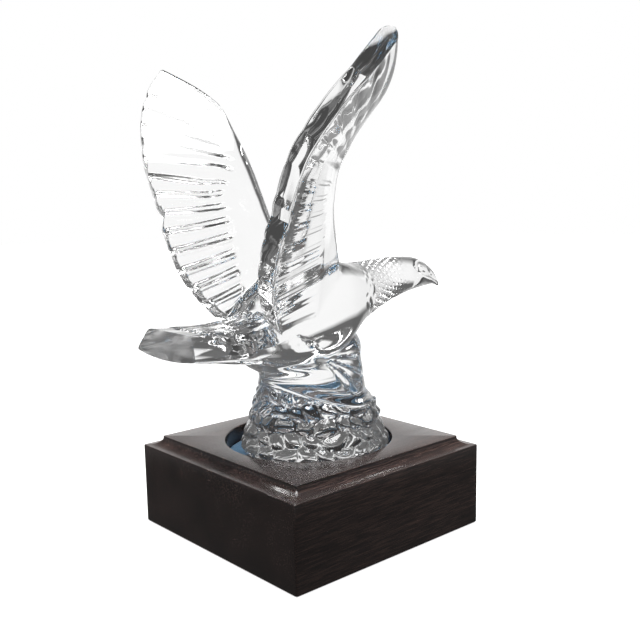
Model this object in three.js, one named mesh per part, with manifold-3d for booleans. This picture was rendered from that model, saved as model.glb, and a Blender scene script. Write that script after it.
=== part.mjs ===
// Crystal eagle figurine standing in the round recess of a square wooden plinth.
// Millimetres, +Z up. The eagle faces +X and its left wing is on the +Y side.
// The origin is the middle of the plinth's underside.

import * as THREE from "three";
import * as BufferGeometryUtils from "three/addons/utils/BufferGeometryUtils.js";
import Module from "manifold-3d";

const wasm = await Module();
wasm.setup();

// Plinth: a square block whose top edge is cut back by a hollow moulding
const plinthSide = 114;
const plinthHeight = 43;
const moldingInset = 6.8;
const moldingDrop = 4.3;
const moldingLip = 0.7;
const moldingSteps = 6;

// Recess, liner and the fits between the three pieces
const recessDepth = 9;
const footClearance = 5.7;
const linerThickness = 1.2;
const linerClearance = 0.4;
const restGap = 0.3;
const roundSides = 72;

// Corners of a drawn surface nearer to each other than this are one
const mergeDistance = 1e-4;

// Eagle: the free form below is drawn at drawnHeight and scaled to eagleHeight
const eagleHeight = 184.2;
const drawnHeight = 184.2;
const scale = eagleHeight / drawnHeight;

// Stations of the body from tail end to beak tip:
// x, top, height of the widest point, bottom, half width, fullness of the section
const bodyStations = [
  [-78, 104.0, 94.8, 91.6, 21.8, 6.0],
  [-62, 102.6, 93.5, 88.6, 19.8, 5.0],
  [-48, 103.6, 93.0, 85.9, 18.6, 4.0],
  [-36, 106.6, 95.0, 84.2, 20.6, 3.4],
  [-22, 116.0, 98.0, 82.0, 23.4, 3.6],
  [-6, 125.5, 104.0, 82.0, 25.2, 4.0],
  [8, 127.0, 109.0, 86.5, 24.0, 4.0],
  [24, 124.4, 111.0, 93.0, 18.6, 2.5],
  [34, 124.2, 111.0, 97.0, 15.4, 2.2],
  [42, 124.6, 112.0, 99.8, 13.4, 2.1],
  [50, 124.9, 113.5, 102.6, 12.0, 2.1],
  [58, 124.9, 115.0, 104.6, 11.0, 2.1],
  [66, 124.6, 116.0, 106.3, 10.0, 2.1],
  [73, 123.7, 116.0, 107.2, 8.6, 2.1],
  [79, 121.6, 114.5, 107.8, 6.4, 2.0],
  [84, 118.9, 113.0, 108.2, 4.6, 2.0],
  [88, 115.9, 111.4, 108.4, 3.4, 2.0],
  [91, 112.6, 109.6, 107.9, 2.2, 2.0],
  [93, 109.6, 108.0, 107.1, 1.2, 2.0],
];
const beakTip = [94, 107.0];
const bodyRings = 46;
const bodySides = 36;
const tailSlant = 0.28;
const tailGrooveDepth = 0.9;
const tailGrooveEnd = -30;
const tailGrooveFade = 12;
const tailGrooveTop = 0.5;
const tailTopNarrower = 0.22;
const tailCornerRise = 1.7;

// Eyes: small domes under the brow
const eyeRadius = 2.1;
const eyePlace = [71.0, 7.4, 118.4];
const eyeSides = 12;
const eyeRows = 8;

// Legs and rock, as level ovals: z, middle in x, half length in x, half width in y
const columnStations = [
  [35.8, 3.6, 34.2, 34.2],
  [43, 3.6, 33.6, 33.6],
  [50, 3.4, 31.0, 31.0],
  [57.6, 3.6, 29.6, 28.6],
  [64, 2.8, 27.2, 25.4],
  [70, 2.5, 25.2, 23.4],
  [76, 2.0, 25.4, 22.8],
  [81, -2.0, 29.5, 22.8],
  [87, -4.0, 33.0, 21.6],
  [94, -4.0, 30.0, 17.0],
];
const rockRows = 7;
const rockTop = 73;
const rockFacets = 22;
const facetPeak = 1.1;
const facetValley = -0.9;
const rockTuck = 3;
const legSides = 40;
const legRings = 9;
const legCrowding = 1.2;
const skirtFront = 60;
const skirtBack = 71;
const skirtOverhang = 1.3;
const skirtRoll = 1.6;
const skirtLip = 0.4;

// The skirt's edge starts to rise at this angle from the front and rises over this further angle
const skirtRiseFrom = 1.2;
const skirtRiseOver = 1.9;

// Left wing, as curves from the wing's top to its root: x, y, z.
// The leading edge runs down the front and the feather roots behind it.
// The trailing edge starts at the wing tip.
const leadingEdge = [
  [-7.4, 49.6, 197], [-8.2, 40.5, 187], [-8.2, 33.0, 178], [-7.4, 27.3, 168],
  [-5.6, 23.5, 157], [-2.8, 20.4, 145], [2.0, 18.4, 131.5], [5.0, 18.0, 116], [5.0, 16.0, 100],
];
const featherRoots = [
  [-7.5, 52.3, 199], [-12.5, 46.1, 189.5], [-18.0, 42.4, 181], [-22.0, 38.0, 171.5],
  [-21.5, 33.6, 161.5], [-18.0, 28.8, 150.5], [-15.5, 24.9, 137], [-14.0, 22.0, 121.5],
  [-12.0, 17.5, 104],
];
const trailingEdge = [
  [-23.3, 79.4, 220], [-34.6, 76.2, 206], [-44.1, 67.1, 191], [-50.1, 56.5, 174.5],
  [-50.7, 47.1, 157.5], [-50.9, 38.9, 140], [-48.1, 30.4, 122.5], [-39.6, 22.0, 107.5],
  [-28.0, 14.0, 96],
];
const feathers = 16;
const wingThicknessRoot = 8.6;
const wingThicknessTip = 8.2;
const wingMiddleSwell = 0.9;
const outerGrooveDepth = 1.5;
const innerGrooveDepth = 0.9;
const scallopDepth = 1.4;
const scallopShareAtTop = 0.3;
const notchFeather = 9;
const notchDepth = 2.2;
const notchReach = 0.6;

// The upper edge bulges forward over the first rows of the wing
const upperEdgeBulge = 3.2;
const bulgeRowShare = 0.25;
const bossCentre = [-7.5, 169.5];
const bossRadii = [12, 17];
const bossHeight = 0.8;

// Where along a feather's width the wing has rows, and across the wing its columns
const featherRows = [0, 0.26, 0.74];
const rootShare = 0.3;
const wingColumns = [0.06, 0.16, 0.3, 0.38, 0.55, 0.78, 1];

// Shares of the wing's rows and columns over which its forms grow to their full size
const thickeningRowShare = 0.625;
const grooveRowShare = 0.125;
const grooveColumnShare = 0.1;
const insetFrom = 0.6;
const noseColumnShare = 0.12;
const noseBluntness = 0.5;
const topEdgeFeathers = 0.5;

// Step along the rows and columns by which the wing's facing is measured
const facingStep = 0.004;
const firstFacingRow = 0.01;

const clamp = (value, low, high) => Math.min(Math.max(value, low), high);
const mix = (a, b, share) => a + (b - a) * share;
const ease = (value) => {
  const t = clamp(value, 0, 1);
  return t * t * (3 - 2 * t);
};

// A smooth curve through a table's rows: the first column is the position along it
function readTable(table, position) {
  const last = table.length - 1;
  let row = 0;
  while (row < last - 1 && position > table[row + 1][0]) row += 1;
  const span = table[row + 1][0] - table[row][0];
  const t = clamp((position - table[row][0]) / span, 0, 1);
  const slope = (index, column) => {
    const before = table[Math.max(index - 1, 0)];
    const after = table[Math.min(index + 1, last)];
    return (after[column] - before[column]) / (after[0] - before[0]);
  };
  return table[row].slice(1).map((value, index) => {
    const column = index + 1;
    const next = table[row + 1][column];
    const start = slope(row, column) * span;
    const end = slope(row + 1, column) * span;
    return value * (1 + 2 * t) * (1 - t) ** 2 + start * t * (1 - t) ** 2
      + next * t * t * (3 - 2 * t) + end * t * t * (t - 1);
  });
}

const middleOf = (points) => {
  const sumAlong = (axis) => points.reduce((sum, point) => sum + point[axis], 0);
  return [0, 1, 2].map((axis) => sumAlong(axis) / points.length);
};

// A closed surface over rings of equal length, closed at each end by a fan to a point.
// A first ring that is pressed flat to a line has no start point.
function loftGeometry(rings, startPoint, endPoint, flipDiagonal = () => false) {
  const count = rings[0].length;
  const positions = [...rings.flat(), endPoint, startPoint ?? endPoint].flat();
  const end = rings.length * count;
  const indices = [];
  for (let ring = 0; ring < rings.length - 1; ring += 1) {
    for (let side = 0; side < count; side += 1) {
      const a = ring * count + side;
      const b = ring * count + ((side + 1) % count);
      const c = b + count;
      const d = a + count;
      if (flipDiagonal(ring, side)) indices.push(a, b, d, b, c, d);
      else indices.push(a, b, c, a, c, d);
    }
  }
  const lastRing = (rings.length - 1) * count;
  for (let side = 0; side < count; side += 1) {
    const next = (side + 1) % count;
    if (startPoint) indices.push(end + 1, next, side);
    indices.push(end, lastRing + side, lastRing + next);
  }
  const geometry = new THREE.BufferGeometry();
  geometry.setAttribute("position", new THREE.Float32BufferAttribute(positions, 3));
  geometry.setIndex(indices);
  return geometry;
}

function solidOf(geometry) {
  geometry.deleteAttribute("normal");
  geometry.deleteAttribute("uv");
  const merged = BufferGeometryUtils.mergeVertices(geometry, mergeDistance);
  const corners = [];
  for (let corner = 0; corner < merged.index.count; corner += 3) {
    const [a, b, c] = [0, 1, 2].map((offset) => merged.index.getX(corner + offset));
    if (a !== b && b !== c && c !== a) corners.push(a, b, c);
  }
  return new wasm.Manifold(new wasm.Mesh({
    numProp: 3,
    vertProperties: new Float32Array(merged.attributes.position.array),
    triVerts: new Uint32Array(corners),
  }));
}

function geometryOf(solid) {
  const mesh = solid.getMesh();
  const geometry = new THREE.BufferGeometry();
  geometry.setAttribute("position", new THREE.Float32BufferAttribute(mesh.vertProperties, 3));
  geometry.setIndex(new THREE.Uint32BufferAttribute(mesh.triVerts, 1));
  geometry.computeVertexNormals();
  return geometry;
}

// Body, tail, neck, head and beak in one loft along x
function bodySection(x) {
  const [top, widest, bottom, halfWidth, fullness] = readTable(bodyStations, x);
  const grooves = 1 - ease((x - tailGrooveEnd + tailGrooveFade) / tailGrooveFade);
  const ring = [];
  for (let side = 0; side < bodySides; side += 1) {
    const angle = (side / bodySides) * 2 * Math.PI;
    const rounded = Math.abs(Math.cos(angle)) ** fullness + Math.abs(Math.sin(angle)) ** fullness;
    const radius = rounded ** (-1 / fullness);
    const across = radius * Math.cos(angle);
    const up = radius * Math.sin(angle);
    const reach = up > 0 ? top - widest : widest - bottom;
    const inGroove = up > tailGrooveTop && side % 2 === 0;
    const drop = inGroove ? tailGrooveDepth * grooves : 0;
    const rise = tailCornerRise * grooves * across ** 2 * clamp(-up, 0, 1);
    const z = widest + reach * up - drop + rise;
    const narrowed = 1 - tailTopNarrower * grooves * clamp(up, 0, 1);
    ring.push([x + tailSlant * grooves * (z - bottom), halfWidth * across * narrowed, z]);
  }
  return ring;
}

function bodyGeometry() {
  const first = bodyStations[0][0];
  const last = bodyStations[bodyStations.length - 1][0];
  const rings = [];
  for (let ring = 0; ring <= bodyRings; ring += 1) {
    rings.push(bodySection(mix(first, last, ring / bodyRings)));
  }
  return loftGeometry(rings, middleOf(rings[0]), [beakTip[0], 0, beakTip[1]]);
}

// A level oval of the column, grown outwards by swell
function columnPoint(z, angle, swell) {
  const [middle, halfLength, halfWidth] = readTable(columnStations, z);
  return [middle + (halfLength + swell) * Math.cos(angle), (halfWidth + swell) * Math.sin(angle), z];
}

// Height of the skirt's lower edge round the column, 0 at the front
const skirtEdge = (angle) => {
  const fromFront = Math.min(angle, 2 * Math.PI - angle);
  return mix(skirtFront, skirtBack, ease((fromFront - skirtRiseFrom) / skirtRiseOver));
};

// Rock: rows of raised diamonds, each row shifted by half a diamond, tucked in under the skirt
function rockGeometry() {
  const count = rockFacets * 2;
  const foot = columnStations[0][0];
  const rings = [];
  for (let row = 0; row <= rockRows; row += 1) {
    const ring = [];
    for (let side = 0; side < count; side += 1) {
      const raised = (row + side) % 2 === 0 && row > 0;
      const angle = (side / count) * 2 * Math.PI;
      const z = mix(foot, rockTop, row / rockRows);
      const swell = z > skirtEdge(angle) ? -rockTuck : (raised ? facetPeak : facetValley);
      ring.push(columnPoint(z, angle, swell));
    }
    rings.push(ring);
  }
  const middle = columnStations[0][1];
  const alongValley = (ring, side) => (ring + side) % 2 === 0;
  return loftGeometry(rings, [middle, 0, foot], [middle, 0, rockTop], alongValley);
}

// Legs and their feather skirt, whose lower edge is lower at the front
function legGeometry() {
  const top = columnStations[columnStations.length - 1][0];
  const levels = [];
  for (let ring = 0; ring <= legRings; ring += 1) levels.push((ring / legRings) ** legCrowding);
  const ringAt = (heightAt, swell) => {
    const ring = [];
    for (let side = 0; side < legSides; side += 1) {
      const angle = (side / legSides) * 2 * Math.PI;
      ring.push(columnPoint(heightAt(angle), angle, swell));
    }
    return ring;
  };
  const rings = [ringAt((angle) => skirtEdge(angle) + skirtRoll / 2, -2 * skirtOverhang)];
  levels.forEach((level, index) => {
    const swell = index === 0 ? skirtLip : skirtOverhang * (1 - level);
    rings.push(ringAt((angle) => mix(skirtEdge(angle), top, level), swell));
  });
  const middle = columnStations[0][1];
  return loftGeometry(rings, [middle, 0, (skirtFront + skirtBack) / 2], [middle, 0, top]);
}

const curveThrough = (points) => {
  const corners = points.map((point) => new THREE.Vector3(...point));
  return new THREE.CatmullRomCurve3(corners, false, "catmullrom", 0.5);
};
const leadingCurve = curveThrough(leadingEdge);
const rootCurve = curveThrough(featherRoots);
const trailingCurve = curveThrough(trailingEdge);

// Middle of the wing's thickness: row 0 at the wing's top to 1 at its root,
// column 0 at the leading edge to 1 at the trailing edge
function wingMiddle(row, column) {
  const leading = leadingCurve.getPoint(row);
  const root = rootCurve.getPoint(row);
  const trailing = trailingCurve.getPoint(row);
  if (column <= rootShare) return leading.lerp(root, column / rootShare);
  const along = (column - rootShare) / (1 - rootShare);
  const inFeather = (row * feathers) % 1;
  const scallop = scallopDepth * (1 - Math.sin(Math.PI * inFeather)) * mix(scallopShareAtTop, 1, row);
  const atNotch = Math.max(0, 1 - Math.abs(row * feathers - notchFeather) / notchReach);
  const length = root.distanceTo(trailing);
  const inset = ((scallop + notchDepth * atNotch) / length) * ease((along - insetFrom) / (1 - insetFrom));
  const point = root.clone().lerp(trailing, along * (1 - inset));
  point.x += upperEdgeBulge * Math.sin(Math.PI * along) * (1 - ease(row / bulgeRowShare));
  return point;
}

function wingNormal(row, column) {
  const rowLow = clamp(row - facingStep, firstFacingRow, 1);
  const rowHigh = clamp(row + facingStep, 2 * firstFacingRow, 1);
  const low = clamp(column - facingStep, 0, 1 - facingStep);
  const down = wingMiddle(rowHigh, low).sub(wingMiddle(rowLow, low));
  const back = wingMiddle(row, low + facingStep).sub(wingMiddle(row, low));
  const normal = down.cross(back).normalize();
  return normal.y < 0 ? normal.negate() : normal;
}

// Outer (+1) or inner (-1) face of the wing
function wingFace(row, column, face) {
  const middle = wingMiddle(row, column);
  if (row === 0) return middle.toArray();
  const inFeather = (row * feathers) % 1;
  const fromGroove = Math.min(inFeather, 1 - inFeather);
  const onFeathers = ease((column - rootShare) / grooveColumnShare) * ease(row / grooveRowShare);
  const depth = face > 0 ? outerGrooveDepth : innerGrooveDepth;
  const groove = depth * clamp(1 - fromGroove / featherRows[1], 0, 1) * onFeathers;
  const across = (middle.x - bossCentre[0]) / bossRadii[0];
  const upward = (middle.z - bossCentre[1]) / bossRadii[1];
  const boss = bossHeight * Math.sqrt(Math.max(0, 1 - across ** 2 - upward ** 2));
  const nose = Math.sqrt(clamp(column / noseColumnShare, noseBluntness, 1));
  const topEdge = Math.sqrt(clamp((row * feathers) / topEdgeFeathers, 0, 1));
  const thickness = mix(wingThicknessTip, wingThicknessRoot, ease(row / thickeningRowShare));
  const half = thickness / 2 + wingMiddleSwell * Math.sin(Math.PI * column);
  const offset = (half - groove) * nose * topEdge + boss * nose;
  return middle.addScaledVector(wingNormal(row, column), offset * face).toArray();
}

function wingGeometry(side) {
  const rows = [];
  for (let feather = 0; feather < feathers; feather += 1) {
    featherRows.forEach((share) => rows.push((feather + share) / feathers));
  }
  rows.push(1);
  const rings = rows.map((row) => {
    const outer = wingColumns.map((column) => wingFace(row, column, 1));
    const inner = wingColumns.map((column) => wingFace(row, column, -1)).reverse();
    return [wingMiddle(row, 0).toArray(), ...outer, ...inner];
  });
  const geometry = loftGeometry(rings, null, middleOf(rings[rings.length - 1]));
  if (side > 0) return turnedOutside(geometry);
  geometry.scale(1, -1, 1);
  return geometry;
}

// Reverses the corners of every triangle, so that the faces point out
function turnedOutside(geometry) {
  const index = geometry.index.array;
  for (let corner = 0; corner < index.length; corner += 3) {
    [index[corner], index[corner + 1]] = [index[corner + 1], index[corner]];
  }
  return geometry;
}

function eagleGeometry() {
  const eyeShape = (side) => {
    const eye = new THREE.SphereGeometry(eyeRadius, eyeSides, eyeRows);
    eye.translate(eyePlace[0], side * eyePlace[1], eyePlace[2]);
    return eye;
  };
  const forms = [legGeometry(), rockGeometry()];
  [1, -1].forEach((side) => forms.push(wingGeometry(side), eyeShape(side)));
  const body = solidOf(bodyGeometry());
  const geometry = geometryOf(forms.reduce((whole, form) => whole.add(solidOf(form)), body));
  geometry.translate(0, 0, -columnStations[0][0]);
  geometry.scale(scale, scale, scale);
  return geometry;
}

// Plinth: a four-sided turning, so that the moulding is mitred at the corners
const recessRadius = columnStations[0][2] * scale + footClearance;
const recessFloor = plinthHeight - recessDepth;

function plinthGeometry() {
  const corner = Math.SQRT2;
  const half = plinthSide / 2;
  const profile = [new THREE.Vector2(0, 0), new THREE.Vector2(half * corner, 0)];
  for (let step = 0; step <= moldingSteps; step += 1) {
    const angle = (step / moldingSteps) * (Math.PI / 2);
    const out = half - moldingInset * Math.sin(angle);
    const up = plinthHeight - moldingLip - (moldingDrop - moldingLip) * Math.cos(angle);
    profile.push(new THREE.Vector2(out * corner, up));
  }
  profile.push(new THREE.Vector2((half - moldingInset) * corner, plinthHeight));
  profile.push(new THREE.Vector2(0, plinthHeight));
  const block = new THREE.LatheGeometry(profile, 4, Math.PI / 4);
  block.rotateX(Math.PI / 2);
  const recess = new THREE.CylinderGeometry(recessRadius, recessRadius, 2 * recessDepth, roundSides);
  recess.rotateX(Math.PI / 2);
  recess.translate(0, 0, plinthHeight);
  return geometryOf(solidOf(block).subtract(solidOf(recess)));
}

function linerGeometry() {
  const radius = recessRadius - linerClearance;
  const liner = new THREE.CylinderGeometry(radius, radius, linerThickness, roundSides);
  liner.rotateX(Math.PI / 2);
  return liner;
}

function addPiece(group, name, geometry, finish, height) {
  const mesh = new THREE.Mesh(geometry, new THREE.MeshStandardMaterial(finish));
  mesh.name = name;
  mesh.position.z = height;
  group.add(mesh);
}

const figurine = new THREE.Group();
const linerBottom = recessFloor + restGap;
const eagleBottom = linerBottom + linerThickness + restGap;
const woodFinish = { color: 0x3b2a27, roughness: 0.45, metalness: 0 };
const feltFinish = { color: 0x28506f, roughness: 1, metalness: 0 };
const crystalFinish = { color: 0xeef2f3, roughness: 0.03, metalness: 0 };
addPiece(figurine, "wood_plinth", plinthGeometry(), woodFinish, 0);
addPiece(figurine, "felt_liner", linerGeometry(), feltFinish, linerBottom + linerThickness / 2);
addPiece(figurine, "crystal_eagle", eagleGeometry(), crystalFinish, eagleBottom);

export default figurine;
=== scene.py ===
import math

import bmesh
import bpy
import numpy as np
from mathutils import Matrix, Vector, bvhtree, kdtree


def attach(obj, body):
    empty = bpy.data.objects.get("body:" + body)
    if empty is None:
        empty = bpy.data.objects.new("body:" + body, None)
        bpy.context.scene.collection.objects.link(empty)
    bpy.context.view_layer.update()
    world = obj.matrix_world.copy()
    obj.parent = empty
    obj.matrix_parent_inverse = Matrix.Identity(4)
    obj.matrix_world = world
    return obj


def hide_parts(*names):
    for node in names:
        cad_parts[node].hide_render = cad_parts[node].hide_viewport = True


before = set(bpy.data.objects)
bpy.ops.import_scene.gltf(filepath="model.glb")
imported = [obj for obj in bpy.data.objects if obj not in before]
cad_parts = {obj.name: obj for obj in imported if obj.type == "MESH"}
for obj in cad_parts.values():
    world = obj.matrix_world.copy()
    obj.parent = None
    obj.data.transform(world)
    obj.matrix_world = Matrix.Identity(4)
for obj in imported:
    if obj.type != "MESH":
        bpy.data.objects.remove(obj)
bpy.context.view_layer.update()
mm = 0.001
print("frame loaded:", sorted(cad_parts))


# Small helpers for shapes. Shapes are drawn in millimetres and scaled once, at the end.
def ease(value):
    t = np.clip(value, 0, 1)
    return t * t * (3 - 2 * t)


def mix(a, b, share):
    return a + (b - a) * share


def bell(value, width):
    return np.exp(-(value / width) ** 2)


def readTable(table, position):
    # a smooth curve through the rows of a table, whose first column is the place along it
    rows = np.array(table, float)
    at, values = rows[:, 0], rows[:, 1:]
    last = len(at) - 1
    before, after = np.maximum(np.arange(last + 1) - 1, 0), np.minimum(np.arange(last + 1) + 1, last)
    slopes = (values[after] - values[before]) / (at[after] - at[before])[:, None]
    position = np.asarray(position, float)
    first = np.clip(np.searchsorted(at, position) - 1, 0, last - 1)
    span = (at[first + 1] - at[first])[..., None]
    t = np.clip((position - at[first])[..., None] / span, 0, 1)
    found = (
        values[first] * (1 + 2 * t) * (1 - t) ** 2
        + slopes[first] * span * t * (1 - t) ** 2
        + values[first + 1] * t * t * (3 - 2 * t)
        + slopes[first + 1] * span * t * t * (t - 1)
    )
    return np.moveaxis(found, -1, 0)


def curveThrough(points):
    points = np.array(points, float)
    padded = np.vstack([2 * points[0] - points[1], points, 2 * points[-1] - points[-2]])

    def at(share):
        place = np.clip(share, 0, 1) * (len(points) - 1)
        first = np.clip(np.floor(place).astype(int), 0, len(points) - 2)
        t = (place - first)[..., None]
        a, b, c, d = (padded[first + step] for step in range(4))
        start, end = (c - a) / 2, (d - b) / 2
        return (
            (2 * t ** 3 - 3 * t ** 2 + 1) * b + (t ** 3 - 2 * t ** 2 + t) * start
            + (3 * t ** 2 - 2 * t ** 3) * c + (t ** 3 - t ** 2) * end
        )

    return at


def loft(name, rings, startPoint, endPoint):
    # a closed skin over rings of equal length; a start point of None is a ring pressed flat
    total, count = rings.shape[:2]
    points = [rings.reshape(-1, 3), np.array([endPoint])]
    ring, side = np.meshgrid(np.arange(total - 1), np.arange(count), indexing="ij")
    a = ring * count + side
    b = ring * count + (side + 1) % count
    faces = np.stack([a, b, b + count, a + count], -1).reshape(-1, 4).tolist()
    end, lastRing = total * count, (total - 1) * count
    faces += [(end, lastRing + s, lastRing + (s + 1) % count) for s in range(count)]
    if startPoint is not None:
        points.append(np.array([startPoint]))
        faces += [(end + 1, (s + 1) % count, s) for s in range(count)]
    mesh = bpy.data.meshes.new(name)
    mesh.from_pydata(np.vstack(points).tolist(), [], faces)
    shape = bmesh.new()
    shape.from_mesh(mesh)
    bmesh.ops.remove_doubles(shape, verts=shape.verts, dist=1e-4)
    bmesh.ops.triangulate(shape, faces=shape.faces, quad_method="SHORT_EDGE")
    bmesh.ops.recalc_face_normals(shape, faces=shape.faces)
    shape.to_mesh(mesh)
    shape.free()
    piece = bpy.data.objects.new(name, mesh)
    bpy.context.scene.collection.objects.link(piece)
    return piece


# Body, tail, neck, head and beak: x, top, height of the widest point, bottom, half width, fullness
body = {
    "stations": [
        [-78, 103.8, 94.6, 91.6, 21.8, 11.0], [-62, 102.6, 93.5, 88.6, 19.8, 7.0],
        [-48, 103.6, 93.0, 85.9, 18.6, 4.4], [-36, 106.6, 95.0, 84.2, 20.6, 3.4],
        [-22, 116.0, 98.0, 82.0, 23.4, 3.6], [-6, 125.5, 104.0, 82.0, 25.2, 4.0],
        [8, 127.0, 109.0, 86.5, 24.0, 4.0], [24, 124.4, 111.0, 93.0, 18.6, 2.5],
        [34, 124.2, 111.0, 97.0, 15.4, 2.2], [42, 124.6, 112.0, 99.8, 13.4, 2.1],
        [50, 124.9, 113.5, 102.6, 12.0, 2.1], [58, 124.9, 115.0, 104.6, 11.0, 2.1],
        [66, 124.6, 116.0, 106.3, 10.0, 2.1], [73, 123.7, 116.0, 107.2, 8.6, 2.1],
        [79, 121.6, 114.5, 107.8, 6.4, 2.0], [84, 118.9, 113.0, 108.2, 4.6, 2.0],
        [88, 115.9, 111.4, 108.4, 3.4, 2.0], [91, 112.6, 109.6, 107.9, 2.2, 2.0],
        [93, 109.6, 108.0, 107.1, 1.2, 2.0],
    ],
    "beakTip": [94, 0, 107],
    "sides": 150,
    "coarseStep": 1.5,
    "fineStep": 0.5,
    "fineFrom": 27,
    "tailSlant": 0.28,
    "tailFront": -42,
    "tailFade": 14,
    "tailFeathers": 7,
    "tailGrooveDepth": 0.6,
    "tailGrooveShallow": 0.35,
    "tailGrooveRamp": [-76, 30],
    "tailTopFrom": 0.25,
    "tailTopBlend": 0.3,
    "tailTip": -70.5,
    "tailTipPoint": 5,
    "tailTipBlend": 1.6,
    "tailBorderDrop": 0.7,
    "tailTopNarrower": 0.22,
    "tailCornerRise": 1.7,
    "flankFrom": [-35, 106],
    "flankTo": [-9, 86],
    "flankDepth": 1.3,
    "flankWidth": [2, 11],
    "flankLip": 0.7,
    "flankFadeIn": 0.15,
    "flankFadeOut": [0.9, 0.2],
    "dimpleDepth": 0.95,
    "dimpleRows": 9,
    "dimpleFrom": 31,
    "dimpleStep": 3.1,
    "dimplesAround": 26,
    "dimpleSize": [0.24, 0.33],
    "dimpleShift": [0.13, 7],
    "dimpleWander": [0.15, 9],
    "dimpleFadeIn": [0.6, 0.5],
    "dimpleFadeOut": [3, 4],
    "eyePlace": [70.9, 7.3, 118.3],
    "eyeRadius": 2.0,
    "eyeFineness": 4,
    "socketDepth": 1.2,
    "socketSetBack": 0.6,
    "socketSize": [4.6, 2.7],
    "gapeDepth": 0.7,
    "gapeWidth": 0.55,
    "gapeFadeIn": 4,
    "gapeFadeOut": [91, 2],
    "gapeLine": [[64, 120.2], [68, 118.0], [72, 115.6], [78, 113.6], [84, 112.0], [89, 109.9], [93, 107.9]],
    "nostril": [83.2, 114.7],
    "nostrilSize": [1.3, 0.7],
    "nostrilDepth": 0.5,
}


def tailDrop(x, across, up, onTail):
    # long tail feathers on the top, pointed where they end before the tail's edge
    lane = (across * 0.5 + 0.5) * body["tailFeathers"]
    fromMiddle = np.abs(lane % 1 - 0.5) * 2
    pastTip = ease((x - body["tailTip"] - body["tailTipPoint"] * fromMiddle) / body["tailTipBlend"])
    rampFrom, rampLength = body["tailGrooveRamp"]
    deeper = mix(body["tailGrooveShallow"], 1, ease((x - rampFrom) / rampLength))
    groove = body["tailGrooveDepth"] * fromMiddle ** 3 * pastTip * deeper
    onTop = ease((up - body["tailTopFrom"]) / body["tailTopBlend"])
    return (groove + body["tailBorderDrop"] * (1 - pastTip)) * onTail * onTop


def neckDimples(x, angle):
    # dimples round the neck, in staggered rows that thin out towards the head
    row = (x - body["dimpleFrom"]) / body["dimpleStep"]
    rowIndex = np.round(row)
    around = angle / (2 * np.pi) * body["dimplesAround"] + 0.5 * (rowIndex % 2)
    shift, shiftWaves = body["dimpleShift"]
    around = around + shift * np.sin(shiftWaves * rowIndex)
    wide, long = body["dimpleSize"]
    wander, wanderWaves = body["dimpleWander"]
    fromRow = row - rowIndex + wander * np.sin(wanderWaves * angle)
    dimple = bell(around - np.round(around), wide) * bell(fromRow, long)
    before, fadeIn = body["dimpleFadeIn"]
    after, fadeOut = body["dimpleFadeOut"]
    thinning = ease((rowIndex - body["dimpleRows"] + after) / fadeOut)
    return body["dimpleDepth"] * dimple * ease((rowIndex + before) / fadeIn) * (1 - thinning)


def faceCarving(x, z):
    # eye socket, gape line and nostril
    eyeX, _, eyeZ = body["eyePlace"]
    long, high = body["socketSize"]
    fromEye = np.hypot((x - eyeX + body["socketSetBack"]) / long, (z - eyeZ) / high)
    socket = body["socketDepth"] * bell(fromEye, 1.0)
    gape = np.array(body["gapeLine"], float)
    gapeHeight = np.interp(x[:, 0], gape[:, 0], gape[:, 1])[:, None]
    fadeFrom, fadeLength = body["gapeFadeOut"]
    gapeFade = ease((x - gape[0, 0]) / body["gapeFadeIn"]) * (1 - ease((x - fadeFrom) / fadeLength))
    mouth = body["gapeDepth"] * bell(z - gapeHeight, body["gapeWidth"]) * gapeFade
    noseX, noseZ = body["nostril"]
    long, high = body["nostrilSize"]
    nostril = body["nostrilDepth"] * bell(np.hypot((x - noseX) / long, (z - noseZ) / high), 1.0)
    return socket + mouth + nostril


def flankStep(x, z):
    # the flank ends in a step towards the tail, widening downwards
    (fromX, fromZ), (toX, toZ) = body["flankFrom"], body["flankTo"]
    flankLength = math.hypot(toX - fromX, toZ - fromZ)
    alongX, alongZ = (toX - fromX) / flankLength, (toZ - fromZ) / flankLength
    along = ((x - fromX) * alongX + (z - fromZ) * alongZ) / flankLength
    behind = (fromX - x) * -alongZ + (fromZ - z) * alongX
    width = mix(*body["flankWidth"], np.clip(along, 0, 1))
    step = np.where(behind > 0, 1 - np.clip(behind / width, 0, 1), 1 - ease(-behind / body["flankLip"]))
    fadeFrom, fadeLength = body["flankFadeOut"]
    faded = ease(along / body["flankFadeIn"]) * (1 - ease((along - fadeFrom) / fadeLength))
    return body["flankDepth"] * step * faded


def bodyRings():
    stations = body["stations"]
    first, last = stations[0][0], stations[-1][0]
    coarse = np.arange(first, body["fineFrom"], body["coarseStep"])
    x = np.concatenate([coarse, np.arange(body["fineFrom"], last, body["fineStep"]), [last]])[:, None]
    top, widest, bottom, halfWidth, fullness = readTable(stations, x)
    angle = np.arange(body["sides"])[None, :] / body["sides"] * 2 * np.pi
    reach = (np.abs(np.cos(angle)) ** fullness + np.abs(np.sin(angle)) ** fullness) ** (-1 / fullness)
    across, up = reach * np.cos(angle), reach * np.sin(angle)
    onTail = 1 - ease((x - body["tailFront"]) / body["tailFade"])
    z = widest + np.where(up > 0, top - widest, widest - bottom) * up
    pinch = neckDimples(x, angle) + faceCarving(x, z) + flankStep(x, z)
    length = np.hypot(across, up)
    narrower = body["tailTopNarrower"] * onTail * np.clip(up, 0, 1)
    y = halfWidth * across * (1 - narrower) - pinch * across / length
    rise = body["tailCornerRise"] * onTail * across ** 2 * np.clip(-up, 0, 1)
    z = z - tailDrop(x, across, up, onTail) + rise - pinch * up / length
    return np.stack([x + body["tailSlant"] * onTail * (z - bottom), y, z], -1)


def bodyPiece():
    rings = bodyRings()
    return loft("body", rings, rings[0].mean(0), body["beakTip"])


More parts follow.
